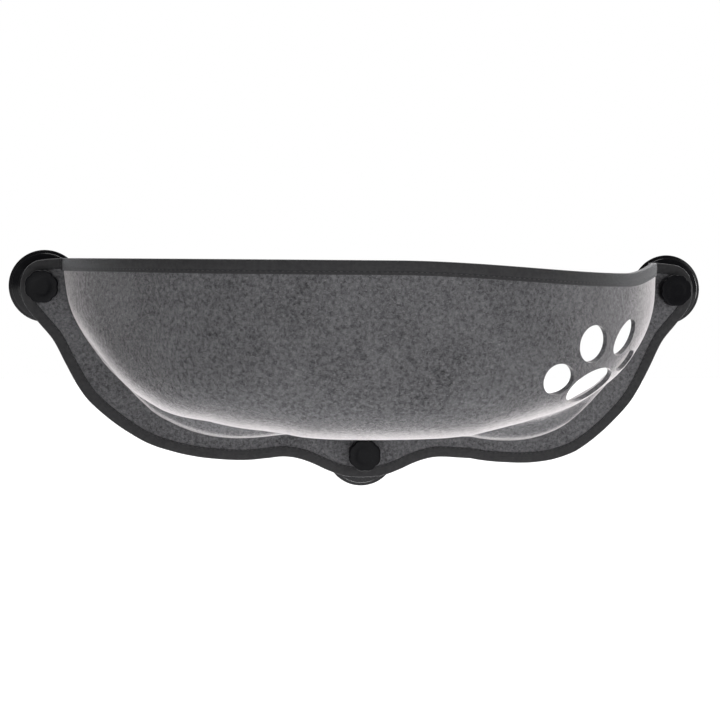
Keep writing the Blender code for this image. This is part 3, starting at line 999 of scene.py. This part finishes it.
@dataclass
class EdgeBinding:
    """Woven tape folded over an edge of the felt and sewn down."""

    edge: Edge
    shape: PodShape
    cover: float
    settle: Callable[[Vector], Vector]
    tape: float = 0.001
    gap: float = 0.0003
    puff: float = 0.00022
    pinch: float = 0.00012
    pinch_width: float = 0.0009
    stitch_line: float = 0.008
    stitch_pitch: float = 0.0046
    stitch_length: float = 0.003
    stitch_width: float = 0.00055
    leg_steps: int = 12
    fold_steps: int = 8
    plan_steps: tuple[int, int] = (400, 8)
    rim_steps: int = 420
    flange_steps: int = 520
    merge: float = 0.00002

    def build(self, material: Material, thread: Material) -> list[Object]:
        """Builds the tape and its stitches.

        Args:
            material: Finish of the tape.
            thread: Finish of the stitches.

        Returns:
            The tape and its stitching.
        """
        stations = self._stations()
        name = self.edge.value
        tape = self._tape(stations, material)
        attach(tape, "hammock")
        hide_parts(f"{name}_binding")
        seam = self._seam(stations, thread)
        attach(seam, "hammock")
        for piece in (tape, seam):
            report(piece)
        return [tape, seam]

    def _stations(self) -> list[Station]:
        """Origin on the felt's edge, direction across the felt and direction out of it.

        Returns:
            One station for each step along the edge.
        """
        s = self.shape
        if self.edge is Edge.RIM:
            path = even_steps(s.plan(*self.plan_steps), np.linspace(0.0, 1.0, self.rim_steps + 1))
            normals = left_normals(path)
            normals[0] = normals[-1] = (0.0, -1.0)
            up = Vector((0.0, 0.0, 1.0))
            return [
                (Vector((x, y, s.rim_height + s.sag(x))), Vector((n[0], n[1], 0.0)), up)
                for (x, y), n in zip(path, normals)
            ]
        path = s.outline(self.flange_steps)
        path[0, 0] -= self.gap
        path[-1, 0] += self.gap
        normals = left_normals(path)
        normals[0] = normals[-1] = (0.0, 1.0)
        front = Vector((0.0, -1.0, 0.0))
        return [
            (Vector((x, -s.felt_middle, z)), front, Vector((n[0], 0.0, n[1])))
            for (x, z), n in zip(path, normals)
        ]

    def _swell(self, height: float, dimple: float) -> float:
        """How far the tape stands out at a height below its fold.

        Args:
            height: Distance out from the felt's edge, less than 0 on the felt.
            dimple: Pull of the thread, from 0 at a stitch's middle to 1 between two stitches.

        Returns:
            The swell, less than 0 where the thread pinches the tape.
        """
        above = max(0.0, 1.0 - abs(height + self.stitch_line / 2) / (self.stitch_line / 2))
        seam = math.exp(-(((height + self.stitch_line) / self.pinch_width) ** 2))
        return self.puff * ease(above) - self.pinch * seam * (0.55 + 0.45 * dimple)

    def _section(self, dimple: float) -> Profile:
        """Closed section of the tape: across the felt, and out from its edge.

        Args:
            dimple: Pull of the thread, from 0 to 1.

        Returns:
            Points of the section.
        """
        near = self.shape.felt / 2 + self.gap
        far, top = near + self.tape, self.gap + self.tape
        bend = self.tape * 1.5
        side = []
        for k in range(self.leg_steps + 1):
            height = -self.cover + (self.cover + top - bend) * k / self.leg_steps
            side.append((far + self._swell(height, dimple), height))
        for k in range(1, self.fold_steps):
            angle = math.pi / 2 * k / self.fold_steps
            side.append((far - bend + bend * math.cos(angle), top - bend + bend * math.sin(angle)))
        side[0] = (far - self.tape * 0.25, side[0][1])
        side.insert(1, (far, -self.cover + self.tape * 0.25))
        crown = [(0.0, top)]
        inner = [(-near, -self.cover), (-near, self.gap), (near, self.gap), (near, -self.cover)]
        return side + crown + [(-a, b) for a, b in reversed(side)] + inner

    def _tape(self, stations: list[Station], material: Material) -> Object:
        """Lays the tape's section along the edge.

        Args:
            stations: Places along the felt's edge.
            material: Finish of the tape.

        Returns:
            The tape.
        """
        run = run_along(np.array([origin for origin, _, _ in stations]))
        waves = [0.5 + 0.5 * math.cos(2 * math.pi * r / self.stitch_pitch) for r in run]
        sections = [self._section(wave) for wave in waves]
        around = len(sections[0])
        girth = [0.0]
        for a, b in zip(sections[0], sections[0][1:] + sections[0][:1]):
            girth.append(girth[-1] + math.dist(a, b))
        bm = bmesh.new()

        def rule(i: int, j: int) -> Vector:
            """Place of the point at column i and row j."""
            origin, across, out = stations[i]
            a, b = sections[i][j % around]
            return self.settle(origin + across * a + out * b)

        crown = girth[sections[0].index((0.0, self.gap + self.tape))]
        spots = lay_grid(bm, len(stations) - 1, around, rule)
        cloth = bm.loops.layers.uv.new("cloth")
        for face in bm.faces:
            for loop in face.loops:
                i, j = spots[loop.vert]
                loop[cloth].uv = (run[i], girth[j] - crown)
        bmesh.ops.remove_doubles(bm, verts=bm.verts, dist=self.merge)
        bmesh.ops.holes_fill(bm, edges=[e for e in bm.edges if e.is_boundary], sides=0)
        return hang(f"{self.edge.value}_tape", bm, material, 60.0)

    def _seam(self, stations: list[Station], thread: Material) -> Object:
        """Sets the stitches along both faces of the tape.

        Args:
            stations: Places along the felt's edge.
            thread: Finish of the stitches.

        Returns:
            All the stitches as one object.
        """
        run = run_along(np.array([origin for origin, _, _ in stations]))
        bm, single = bmesh.new(), self._stitch()
        reach = self.shape.felt / 2 + self.gap + self.tape - self.pinch
        for stitch in range(1, int(run[-1] / self.stitch_pitch)):
            at = stitch * self.stitch_pitch + self.stitch_pitch / 2
            i = min(int(np.searchsorted(run, at)), len(stations) - 1)
            origin, across, out = stations[i]
            before = stations[i - 1]
            share = (at - run[i - 1]) / max(1e-9, run[i] - run[i - 1])
            origin = before[0].lerp(origin, share)
            across = before[1].lerp(across, share).normalized()
            along = (stations[i][0] - before[0]).normalized()
            out = across.cross(along).normalized()
            if out.dot(stations[i][2]) < 0:
                out = -out
            for face in (1.0, -1.0):
                spot = self.settle(origin + across * reach * face - out * self.stitch_line)
                turn = Matrix((along, out, across)).transposed().to_4x4()
                place = Matrix.Translation(spot) @ turn
                single.transform(place)
                bm.from_mesh(single)
                single.transform(place.inverted())
        bpy.data.meshes.remove(single)
        return hang(f"{self.edge.value}_stitches", bm, thread, 80.0)

    def _stitch(self) -> bpy.types.Mesh:
        """One stitch, a small oval bead of thread that lies along X.

        Returns:
            Its mesh.
        """
        bm = bmesh.new()
        long, wide = self.stitch_length, self.stitch_width
        size = Matrix.Diagonal((long / 2, wide / 2, wide / 2.4, 1.0))
        bmesh.ops.create_uvsphere(bm, u_segments=8, v_segments=5, radius=1.0, matrix=size)
        mesh = bpy.data.meshes.new("stitch")
        bm.to_mesh(mesh)
        bm.free()
        return mesh


# Suction fixings


@dataclass
class SuctionFixing:
    """Suction cup with its stud, eyelet, washer and screw-on lobed knob."""

    side: Side
    site: Vector
    cup_radius: float = 0.0345
    cup_height: float = 0.0146
    cup_hollow: float = 0.0062
    cup_land: float = 0.003
    lip: float = 0.0016
    edge: float = 0.0005
    ring_radius: float = 0.0315
    ring_low: float = 0.0022
    ring_high: float = 0.0036
    step_radius: float = 0.0245
    step_low: float = 0.006
    step_high: float = 0.0076
    waist_radius: float = 0.0145
    waist_high: float = 0.0105
    neck_radius: float = 0.0128
    neck_low: float = 0.0018
    neck_edge: float = 0.0006
    pocket_radius: float = 0.0083
    bore_radius: float = 0.0043
    pocket_low: float = 0.0076
    pocket_high: float = 0.0112
    knob_back: float = 0.0236
    knob_radius: float = 0.0156
    knob_height: float = 0.0122
    collar_radius: float = 0.011
    collar: float = 0.0022
    knob_edge: float = 0.0014
    lobe_depth: float = 0.001
    lobe_gap: float = 0.0003
    lobes: int = 8
    cup_steps: int = 96
    knob_steps: int = 160
    dish_radius: float = 0.0082
    dish: float = 0.0004
    dish_edge: float = 0.0016
    grip_edge: float = 0.0002
    insert_radius: float = 0.0067
    insert_deep: float = 0.0093
    merge: float = 0.000004
    finishes: dict[str, Material] = field(default_factory=dict)

    def build(self) -> list[Object]:
        """Builds the cup and the knob, and dresses the small CAD pieces.

        Returns:
            The new cup and knob.
        """
        name = self.side.value
        bell = self._cup_profile()
        cup = self._turned(f"moulded_cup_{name}", bell, self.cup_steps, "rubber")
        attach(cup, f"cup_{name}")
        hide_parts(f"suction_cup_{name}")
        grip = self._knob_profile()
        knob = self._turned(f"lobed_knob_{name}", grip, self.knob_steps, "plastic", self._flute)
        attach(knob, f"knob_{name}")
        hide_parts(f"knob_{name}")
        self.dress()
        for piece in (cup, knob):
            report(piece)
        return [cup, knob]

    def dress(self) -> None:
        """Gives the stud, eyelet, washer and insert their finishes."""
        name = self.side.value
        wear = {"stud": "zinc", "eyelet": "brass", "washer": "plastic", "knob_insert": "brass"}
        for node, finish in wear.items():
            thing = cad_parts[f"{node}_{name}"]
            thing.material_slots[0].material = self.finishes[finish]

    def _turned(
        self,
        name: str,
        profile: Profile,
        steps: int,
        finish: str,
        shaped: Callable[[BMesh], None] | None = None,
    ) -> Object:
        """Spins a profile of radius and height about the stud's axis.

        Args:
            name: Name of the piece.
            profile: Radius and height of each point.
            steps: Steps of the whole turn.
            finish: Name of its finish.
            shaped: Shapes the spun mesh further.

        Returns:
            The piece, on the glass.
        """
        bm = bmesh.new()
        verts = [bm.verts.new((radius, 0.0, height)) for radius, height in profile]
        edges = [bm.edges.new(pair) for pair in zip(verts, verts[1:])]
        turn = {"cent": (0, 0, 0), "axis": (0, 0, 1), "angle": 2 * math.pi}
        bmesh.ops.spin(bm, geom=edges, steps=steps, use_merge=True, **turn)
        bmesh.ops.remove_doubles(bm, verts=bm.verts, dist=self.merge)
        if shaped:
            shaped(bm)
        place = Matrix.Translation(self.site) @ Matrix.Rotation(math.pi / 2, 4, "X")
        bmesh.ops.transform(bm, matrix=place, verts=bm.verts)
        return hang(name, bm, self.finishes[finish], 50.0)

    @staticmethod
    def _rounded(rows: list[tuple[float, float, float]], steps: int = 4) -> Profile:
        """Profile with each inner corner cut to an arc of its own size.

        Args:
            rows: Radius, height and corner size of each point.
            steps: Points along each arc.

        Returns:
            Radius and height of the points of the rounded profile.
        """
        found = [rows[0][:2]]
        for before, here, after in zip(rows, rows[1:], rows[2:]):
            a, b, c = (np.array(p[:2]) for p in (before, here, after))
            size = min(here[2], np.linalg.norm(a - b) * 0.49, np.linalg.norm(c - b) * 0.49)
            if size < 1e-6:
                found.append(tuple(b))
                continue
            start = b + (a - b) / np.linalg.norm(a - b) * size
            end = b + (c - b) / np.linalg.norm(c - b) * size
            for t in np.linspace(0.0, 1.0, steps + 1):
                found.append(tuple(start * (1 - t) ** 2 + b * 2 * t * (1 - t) + end * t**2))
        return found + [rows[-1][:2]]

    def _cup_profile(self) -> Profile:
        """Outline of the cup from its hollow over the lip to the pocket of the stud.

        Returns:
            Radius and height of its points.
        """
        land, edge, top = self.cup_radius - self.edge, self.edge, self.cup_height
        rows = [
            (0.0, self.cup_hollow, 0.0),
            (self.waist_radius, self.cup_hollow * 0.92, 0.004),
            (self.step_radius, self.cup_hollow * 0.55, 0.004),
            (land - self.cup_land, 0.0, 0.0003),
            (land, 0.0, 0.0002),
            (self.cup_radius, edge, 0.0003),
            (self.cup_radius, self.lip - edge, 0.0003),
            (self.cup_radius - edge, self.lip, 0.0003),
            (self.ring_radius, self.ring_low, 0.0004),
            (self.ring_radius - edge, self.ring_high, 0.0006),
            (self.step_radius, self.step_low, 0.0008),
            (self.step_radius - edge, self.step_high, 0.0008),
            (self.waist_radius, self.waist_high, 0.002),
            (self.neck_radius, top - self.neck_low, 0.0008),
            (self.neck_radius, top - self.neck_edge, 0.0003),
            (self.neck_radius - self.neck_edge, top, 0.0003),
            (self.bore_radius, top, 0.0002),
            (self.bore_radius, self.pocket_high, 0.0),
            (self.pocket_radius, self.pocket_high, 0.0),
            (self.pocket_radius, self.pocket_low, 0.0),
            (0.0, self.pocket_low, 0.0),
        ]
        return self._rounded(rows)

    def _knob_profile(self) -> Profile:
        """Outline of the knob from the pocket of its insert over the grip to its face.

        Returns:
            Radius and height of its points.
        """
        back, top = self.knob_back, self.knob_back + self.knob_height
        head = back + self.collar
        rows = [
            (0.0, back + self.insert_deep, 0.0),
            (self.insert_radius, back + self.insert_deep, 0.0),
            (self.insert_radius, back, 0.0),
            (self.collar_radius, back, 0.0003),
            (self.collar_radius, head, 0.0004),
            (self.knob_radius - self.grip_edge, head, 0.0007),
            (self.knob_radius, (head + top) / 2, 0.0),
            (self.knob_radius, top, self.knob_edge),
            (self.dish_radius + self.dish_edge, top, 0.003),
            (self.dish_radius - self.dish_edge, top - self.dish, 0.003),
            (0.0, top - self.dish, 0.0),
        ]
        return self._rounded(rows, 5)

    def _flute(self, bm: BMesh) -> None:
        """Pulls the grip inwards between its lobes.

        Args:
            bm: Mesh of the spun knob.
        """
        for vert in bm.verts:
            radius = math.hypot(vert.co.x, vert.co.y)
            if radius > self.collar_radius + self.lobe_gap:
                wave = abs(math.sin(math.atan2(vert.co.y, vert.co.x) * self.lobes / 2))
                scale = (radius - self.lobe_depth * (1.0 - wave) ** 1.5) / radius
                vert.co.x *= scale
                vert.co.y *= scale


# Studio


@dataclass(frozen=True)
class Lamp:
    """Soft square lamp that faces a point."""

    name: str
    place: tuple[float, float, float]
    aim: tuple[float, float, float]
    size: float
    power: float


@dataclass
class Studio:
    """Camera, soft lamps, bright surround and pale floor."""

    azimuth: float = -5.98
    elevation: float = 3.915
    roll: float = -0.46
    target: tuple[float, float, float] = (-0.00186, 0.0, -0.0707)
    distance: float = 1.4
    focal_pixels: float = 1425.3
    picture: int = 720
    sensor: float = 36.0
    clip: Window = (0.01, 60.0)
    floor_height: float = -1.25
    floor_half: float = 14.0
    floor_glow: float = 0.9
    front_level: float = 0.06
    back_level: float = 1.7
    level_from: float = 0.05
    level_to: float = 0.75
    lamps: tuple[Lamp, ...] = (
        Lamp("front_lamp", (-0.1, -2.3, -0.25), (0.0, -0.1, -0.1), 1.4, 26.0),
        Lamp("left_lamp", (-1.7, -1.8, 0.4), (0.0, -0.1, -0.08), 1.2, 1.0),
        Lamp("right_lamp", (1.7, -1.8, 0.4), (0.0, -0.1, -0.08), 1.2, 10.0),
        Lamp("under_lamp", (0.0, 0.38, -1.1), (0.0, -0.1, -0.08), 0.8, 17.0),
        Lamp("side_lamp", (1.5, 0.45, 0.05), (0.25, -0.1, -0.05), 0.6, 14.0),
        Lamp("far_lamp", (-1.3, 0.9, -0.2), (-0.25, -0.1, -0.05), 0.6, 2.0),
        Lamp("top_lamp", (0.0, 0.55, 1.4), (0.0, -0.05, 0.0), 1.0, 20.0),
    )

    def build(self) -> None:
        """Builds the whole studio."""
        self._camera()
        self._surround()
        for lamp in self.lamps:
            self._lamp(lamp)
        self._floor()
        bpy.context.scene.view_settings.view_transform = "Standard"

    def _camera(self) -> None:
        """Sets the camera at the photograph's angle."""
        turn, tilt = math.radians(self.azimuth), math.radians(self.elevation)
        back = Vector(
            (math.sin(turn) * math.cos(tilt), -math.cos(turn) * math.cos(tilt), math.sin(tilt))
        )
        data = bpy.data.cameras.new("camera")
        data.sensor_width = self.sensor
        data.lens = self.sensor * self.focal_pixels / self.picture
        data.clip_start, data.clip_end = self.clip
        camera = bpy.data.objects.new("camera", data)
        camera.location = Vector(self.target) + back * self.distance
        camera.rotation_mode = "QUATERNION"
        spin = Quaternion((0.0, 0.0, 1.0), math.radians(-self.roll))
        camera.rotation_quaternion = (-back).to_track_quat("-Z", "Y") @ spin
        bpy.context.scene.collection.objects.link(camera)
        bpy.context.scene.camera = camera

    def _lamp(self, lamp: Lamp) -> None:
        """Adds one lamp.

        Args:
            lamp: Its place, aim, size and power.
        """
        data = bpy.data.lights.new(lamp.name, "AREA")
        data.shape, data.size, data.energy = "SQUARE", lamp.size, lamp.power
        thing = bpy.data.objects.new(lamp.name, data)
        thing.location = lamp.place
        aim = Vector(lamp.aim) - Vector(lamp.place)
        thing.rotation_mode = "QUATERNION"
        thing.rotation_quaternion = aim.to_track_quat("-Z", "Y")
        thing.visible_camera = False
        bpy.context.scene.collection.objects.link(thing)

    def _surround(self) -> None:
        """White surround: full white behind the object, softer on the room's side."""
        world = bpy.data.worlds.new("surround")
        bpy.context.scene.world = world
        world.use_nodes = True
        tree = world.node_tree
        tree.nodes.clear()
        kinds = ("OutputWorld", "Background", "Background", "MixShader")
        kinds += ("LightPath", "TexCoord", "SeparateXYZ", "MapRange")
        out, light, soft, seen, path, where, parts, level = (
            tree.nodes.new("ShaderNode" + kind) for kind in kinds
        )
        light.inputs["Strength"].default_value = 1.0
        level.interpolation_type = "SMOOTHSTEP"
        for name, value in (
            ("From Min", self.level_from),
            ("From Max", self.level_to),
            ("To Min", self.front_level),
            ("To Max", self.back_level),
        ):
            level.inputs[name].default_value = value
        for shader in (light, soft):
            shader.inputs["Color"].default_value = (1.0, 1.0, 1.0, 1.0)
        for source, socket in (
            (where.outputs["Generated"], parts.inputs[0]),
            (parts.outputs["Y"], level.inputs["Value"]),
            (level.outputs["Result"], soft.inputs["Strength"]),
            (path.outputs["Is Camera Ray"], seen.inputs[0]),
            (soft.outputs[0], seen.inputs[1]),
            (light.outputs[0], seen.inputs[2]),
            (seen.outputs[0], out.inputs["Surface"]),
        ):
            tree.links.new(source, socket)

    def _floor(self) -> None:
        """Wide pale floor well below the hammock, white to the camera."""
        tree = ShaderTree("pale_floor")
        tree.nodes.remove(tree.shader)
        out = tree.nodes["Material Output"]
        matt = tree.add("BsdfDiffuse", {"Color": (0.82, 0.82, 0.82, 1.0)})
        glow = tree.add("Emission", {"Color": (1.0, 1.0, 1.0, 1.0), "Strength": self.floor_glow})
        both = tree.add("AddShader", {0: matt.outputs[0], 1: glow.outputs[0]})
        path = tree.add("LightPath")
        seen = tree.math("MAXIMUM", path.outputs["Is Camera Ray"], path.outputs["Is Glossy Ray"])
        seen = tree.math("MAXIMUM", seen, path.outputs["Is Transmission Ray"])
        mix = tree.add("MixShader", {0: seen, 1: matt.outputs[0], 2: both.outputs[0]})
        tree.links.new(mix.outputs[0], out.inputs["Surface"])
        bm = bmesh.new()
        place = Matrix.Translation((0.0, 0.0, self.floor_height))
        bmesh.ops.create_grid(bm, x_segments=4, y_segments=4, size=self.floor_half, matrix=place)
        hang("floor", bm, tree.material)


def main() -> None:
    """Builds the hammock's pieces in order, then the studio."""
    logging.basicConfig(level=logging.INFO, format="%(message)s")
    shape = PodShape()
    ears = [site - Vector((0.0, shape.felt_middle, 0.0)) for site in SITES.values()]
    slack = Slack(tuple(SITES.values()))
    FeltShell(shape, PawPrint(), SITES, slack.settle).build(FeltFinish().material(ears))
    tape, thread = TapeFinish().material(), ThreadFinish().material()
    for edge, cover in COVERS.items():
        EdgeBinding(edge, shape, cover, slack.settle).build(tape, thread)
    finishes = {
        "rubber": RubberFinish().material(),
        "plastic": PlasticFinish().material(),
        "zinc": MetalFinish(MetalTone.ZINC, STUD_PITCH).material(),
        "brass": MetalFinish(MetalTone.BRASS, BUSH_PITCH).material(),
    }
    for side, site in SITES.items():
        SuctionFixing(side, site, finishes=finishes).build()
    Studio().build()


if __name__ == "__main__":
    main()
